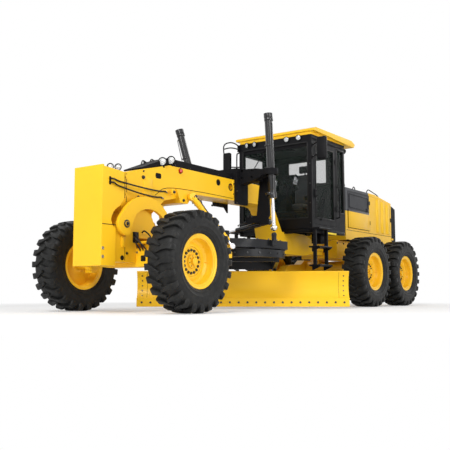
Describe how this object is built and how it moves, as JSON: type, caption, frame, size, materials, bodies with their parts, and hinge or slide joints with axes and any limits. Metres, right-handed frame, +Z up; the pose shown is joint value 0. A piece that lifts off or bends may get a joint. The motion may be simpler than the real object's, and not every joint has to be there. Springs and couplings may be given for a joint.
{
  "type": "motor grader",
  "caption": "Articulated motor grader with an arched frame, turning circle blade, mid scarifier, front push block, enclosed cab and rear engine hood.",
  "frame": {"origin": "centre of the whole machine's box, on the ground under it", "axes": "+X is the travel direction, +Y the machine's left, +Z up"},
  "size_m": [8.9, 3.0152, 3.27],
  "materials": {
    "frame_yellow": "semi-gloss",
    "blade_yellow": "semi-gloss",
    "rim_yellow": "semi-gloss",
    "strut_yellow": "semi-gloss",
    "hood_yellow": "semi-gloss",
    "engine_door_black": "satin",
    "cover_black": "matte",
    "cab_black": "satin",
    "grille_black": "matte",
    "cylinder_black": "semi-gloss",
    "gear_grey": "satin",
    "rod_chrome": "polished",
    "engine_iron": "painted",
    "cab_glass": "clear, faint green",
    "lamp_glass": "clear lens in a black case",
    "seat_fabric": "woven",
    "console_plastic": "textured",
    "tyre_rubber": "matte, lugged tread"
  },
  "bodies": {
    "front_frame": {"main_frame": "frame_yellow", "push_block": "frame_yellow", "frame_cover": "cover_black", "headlights": "lamp_glass", "front_axle": "frame_yellow", "lift_saddle": "frame_yellow", "cab_body": "cab_black", "cab_roof": "frame_yellow", "windscreen": "cab_glass", "rear_window": "cab_glass", "operator_seat": "seat_fabric", "control_console": "console_plastic", "mirror_left": "cab_black", "mirror_right": "cab_black"},
    "lean_left_body": {"lean_yoke_left": "frame_yellow"},
    "lean_right_body": {"lean_yoke_right": "frame_yellow"},
    "steer_left_body": {"knuckle_left": "frame_yellow"},
    "steer_right_body": {"knuckle_right": "frame_yellow"},
    "front_left_wheel": {"front_left_rim": "rim_yellow", "front_left_tyre": "tyre_rubber"},
    "front_right_wheel": {"front_right_rim": "rim_yellow", "front_right_tyre": "tyre_rubber"},
    "lean_bar_body": {"lean_bar": "frame_yellow"},
    "tie_end_body": {"tie_rod_end_left": "frame_yellow"},
    "tie_rod_body": {"tie_rod": "frame_yellow"},
    "draft_body": {"draft_frame": "gear_grey"},
    "circle_body": {"circle": "gear_grey"},
    "carriage_body": {"blade_carriage": "gear_grey"},
    "blade_body": {"moldboard": "blade_yellow", "cutting_edge": "blade_yellow"},
    "lift_barrel_left_body": {"lift_barrel_left": "cylinder_black"},
    "lift_barrel_right_body": {"lift_barrel_right": "cylinder_black"},
    "lift_rod_left_body": {"lift_rod_left": "rod_chrome"},
    "lift_rod_right_body": {"lift_rod_right": "rod_chrome"},
    "side_shift_barrel_body": {"side_shift_barrel": "cylinder_black"},
    "side_shift_rod_body": {"side_shift_rod": "rod_chrome"},
    "scarifier_body": {"scarifier": "frame_yellow"},
    "scarifier_barrel_left_body": {"scarifier_barrel_left": "strut_yellow"},
    "scarifier_barrel_right_body": {"scarifier_barrel_right": "strut_yellow"},
    "scarifier_rod_left_body": {"scarifier_rod_left": "rod_chrome"},
    "scarifier_rod_right_body": {"scarifier_rod_right": "rod_chrome"},
    "cab_door_left_body": {"cab_door_left": "cab_black", "door_glass_left": "cab_glass"},
    "cab_door_right_body": {"cab_door_right": "cab_black", "door_glass_right": "cab_glass"},
    "rear_body": {"rear_frame": "frame_yellow", "tandem_axle": "frame_yellow", "hood": "hood_yellow", "engine": "engine_iron", "rear_grille": "grille_black"},
    "engine_door_left_body": {"engine_door_left": "engine_door_black"},
    "engine_door_right_body": {"engine_door_right": "engine_door_black"},
    "tandem_front_left_wheel": {"tandem_front_left_rim": "rim_yellow", "tandem_front_left_tyre": "tyre_rubber"},
    "tandem_front_right_wheel": {"tandem_front_right_rim": "rim_yellow", "tandem_front_right_tyre": "tyre_rubber"},
    "tandem_rear_left_wheel": {"tandem_rear_left_rim": "rim_yellow", "tandem_rear_left_tyre": "tyre_rubber"},
    "tandem_rear_right_wheel": {"tandem_rear_right_rim": "rim_yellow", "tandem_rear_right_tyre": "tyre_rubber"}
  },
  "joints": [
    {"name": "lean_left", "type": "hinge", "parent": "front_frame", "child": "lean_left_body", "pos_m": [3.65, 0.68, 0.74], "axis": [1, 0, 0], "range_deg": [-18, 18]},
    {"name": "lean_right", "type": "hinge", "parent": "front_frame", "child": "lean_right_body", "pos_m": [3.65, -0.68, 0.74], "axis": [1, 0, 0], "range_deg": [-18.5, 18.5]},
    {"name": "steer_left", "type": "hinge", "parent": "lean_left_body", "child": "steer_left_body", "pos_m": [3.65, 0.84, 0.675], "axis": [0, 0, 1], "range_deg": [-45, 45]},
    {"name": "steer_right", "type": "hinge", "parent": "lean_right_body", "child": "steer_right_body", "pos_m": [3.65, -0.84, 0.675], "axis": [0, 0, 1], "range_deg": [-45.5, 45.5]},
    {"name": "front_left_wheel_spin", "type": "hinge", "parent": "steer_left_body", "child": "front_left_wheel", "pos_m": [3.65, 1.1, 0.675], "axis": [0, 1, 0], "continuous": true},
    {"name": "front_right_wheel_spin", "type": "hinge", "parent": "steer_right_body", "child": "front_right_wheel", "pos_m": [3.65, -1.1, 0.675], "axis": [0, 1, 0], "continuous": true},
    {"name": "lean_bar_turn", "type": "hinge", "parent": "lean_left_body", "child": "lean_bar_body", "pos_m": [3.715, 0.68, 0.955], "axis": [1, 0, 0], "range_deg": [-18.5, 18.5]},
    {"name": "tie_end_turn", "type": "hinge", "parent": "steer_left_body", "child": "tie_end_body", "pos_m": [3.27, 0.84, 0.975], "axis": [0, 0, 1], "range_deg": [-45.5, 45.5]},
    {"name": "tie_rod_turn", "type": "hinge", "parent": "tie_end_body", "child": "tie_rod_body", "pos_m": [3.27, 0.84, 0.975], "axis": [1, 0, 0], "range_deg": [-18, 18]},
    {"name": "draft_lift", "type": "hinge", "parent": "front_frame", "child": "draft_body", "pos_m": [3.23, 0, 1.2], "axis": [0, 1, 0], "range_deg": [-12.5, 11.8]},
    {"name": "circle_turn", "type": "hinge", "parent": "draft_body", "child": "circle_body", "pos_m": [1.15346, 0.12, 0.96], "axis": [0, 0, 1], "continuous": true},
    {"name": "blade_pitch", "type": "hinge", "parent": "circle_body", "child": "carriage_body", "pos_m": [0.68222, -0.14278, 0.3], "axis": [-0.5962, 0.8028, 0], "range_deg": [-5, 40]},
    {"name": "blade_shift", "type": "slide", "parent": "carriage_body", "child": "blade_body", "axis": [0.5962, -0.8028, 0], "range_m": [-0.45, 0.45]},
    {"name": "lift_left_swing", "type": "hinge", "parent": "front_frame", "child": "lift_barrel_left_body", "pos_m": [1.25, 0.83, 2.24], "axis": [1, 0, 0], "range_deg": [-1.74, 1.66]},
    {"name": "lift_left_slide", "type": "slide", "parent": "lift_barrel_left_body", "child": "lift_rod_left_body", "axis": [-0.0367, 0.0299, -0.9989], "range_m": [-0.4152, 0.4396]},
    {"name": "lift_right_swing", "type": "hinge", "parent": "front_frame", "child": "lift_barrel_right_body", "pos_m": [1.25, -0.83, 2.24], "axis": [1, 0, 0], "range_deg": [-4.47, 4.23]},
    {"name": "lift_right_slide", "type": "slide", "parent": "lift_barrel_right_body", "child": "lift_rod_right_body", "axis": [-0.125, 0.2202, -0.9674], "range_m": [-0.422, 0.4468]},
    {"name": "side_shift_swing", "type": "hinge", "parent": "front_frame", "child": "side_shift_barrel_body", "pos_m": [0.988, 0.6, 1.45], "axis": [1, 0, 0], "range_deg": [-22.17, 23.46]},
    {"name": "side_shift_slide", "type": "slide", "parent": "side_shift_barrel_body", "child": "side_shift_rod_body", "axis": [0, -0.9854, -0.1702], "range_m": [-0.0763, 0.0806]},
    {"name": "scarifier_lift", "type": "hinge", "parent": "front_frame", "child": "scarifier_body", "pos_m": [4.04, 0, 1.19], "axis": [0, -1, 0], "range_deg": [0, 15]},
    {"name": "scarifier_left_swing", "type": "hinge", "parent": "front_frame", "child": "scarifier_barrel_left_body", "pos_m": [2.67, 0.335, 1.7], "axis": [0.3928, 0.9147, 0.0956], "range_deg": [-19, 0.3]},
    {"name": "scarifier_left_slide", "type": "slide", "parent": "scarifier_barrel_left_body", "child": "scarifier_rod_left_body", "axis": [-0.5861, 0.3291, -0.7404], "range_m": [-0.004, 0.3629]},
    {"name": "scarifier_right_swing", "type": "hinge", "parent": "front_frame", "child": "scarifier_barrel_right_body", "pos_m": [2.67, -0.335, 1.7], "axis": [-0.3928, 0.9147, -0.0956], "range_deg": [-19, 0.3]},
    {"name": "scarifier_right_slide", "type": "slide", "parent": "scarifier_barrel_right_body", "child": "scarifier_rod_right_body", "axis": [-0.5861, -0.3291, -0.7404], "range_m": [-0.004, 0.3629]},
    {"name": "cab_door_left", "type": "hinge", "parent": "front_frame", "child": "cab_door_left_body", "pos_m": [-1.07, 0.812, 1.5], "axis": [0, 0, 1], "range_deg": [0, 100]},
    {"name": "cab_door_right", "type": "hinge", "parent": "front_frame", "child": "cab_door_right_body", "pos_m": [-1.07, -0.812, 1.5], "axis": [0, 0, 1], "range_deg": [-100, 0]},
    {"name": "articulation", "type": "hinge", "parent": "front_frame", "child": "rear_body", "pos_m": [-1.63, 0, 1.15], "axis": [0, 0, 1], "range_deg": [-22, 22]},
    {"name": "tandem_front_left_spin", "type": "hinge", "parent": "rear_body", "child": "tandem_front_left_wheel", "pos_m": [-1.74, 1.1, 0.675], "axis": [0, 1, 0], "continuous": true},
    {"name": "tandem_front_right_spin", "type": "hinge", "parent": "rear_body", "child": "tandem_front_right_wheel", "pos_m": [-1.74, -1.1, 0.675], "axis": [0, 1, 0], "continuous": true},
    {"name": "tandem_rear_left_spin", "type": "hinge", "parent": "rear_body", "child": "tandem_rear_left_wheel", "pos_m": [-3.28, 1.1, 0.675], "axis": [0, 1, 0], "continuous": true},
    {"name": "tandem_rear_right_spin", "type": "hinge", "parent": "rear_body", "child": "tandem_rear_right_wheel", "pos_m": [-3.28, -1.1, 0.675], "axis": [0, 1, 0], "continuous": true},
    {"name": "engine_door_left", "type": "hinge", "parent": "rear_body", "child": "engine_door_left_body", "pos_m": [-2.99, 0.612, 2], "axis": [0, 0, 1], "range_deg": [0, 90]},
    {"name": "engine_door_right", "type": "hinge", "parent": "rear_body", "child": "engine_door_right_body", "pos_m": [-2.99, -0.612, 2], "axis": [0, 0, 1], "range_deg": [-90, 0]}
  ],
  "couplings": [
    {"joint": "lean_right", "follows": "lean_left", "ratio": 1},
    {"joint": "steer_right", "follows": "steer_left", "ratio": 1},
    {"joint": "lean_bar_turn", "follows": "lean_left", "ratio": -1},
    {"joint": "tie_end_turn", "follows": "steer_left", "ratio": -1},
    {"joint": "tie_rod_turn", "follows": "lean_left", "ratio": -0.811},
    {"joint": "lift_left_swing", "follows": "draft_lift", "ratio": 0.11556},
    {"joint": "lift_left_slide", "follows": "draft_lift", "m_per_rad": -1.9966},
    {"joint": "lift_right_swing", "follows": "draft_lift", "ratio": 0.33339},
    {"joint": "lift_right_slide", "follows": "draft_lift", "m_per_rad": -2.0299},
    {"joint": "side_shift_swing", "follows": "draft_lift", "ratio": -1.8531},
    {"joint": "side_shift_slide", "follows": "draft_lift", "m_per_rad": -0.35105},
    {"joint": "scarifier_left_swing", "follows": "scarifier_lift", "ratio": -1.2467},
    {"joint": "scarifier_left_slide", "follows": "scarifier_lift", "m_per_rad": 1.3709},
    {"joint": "scarifier_right_swing", "follows": "scarifier_lift", "ratio": -1.2467},
    {"joint": "scarifier_right_slide", "follows": "scarifier_lift", "m_per_rad": 1.3709}
  ]
}
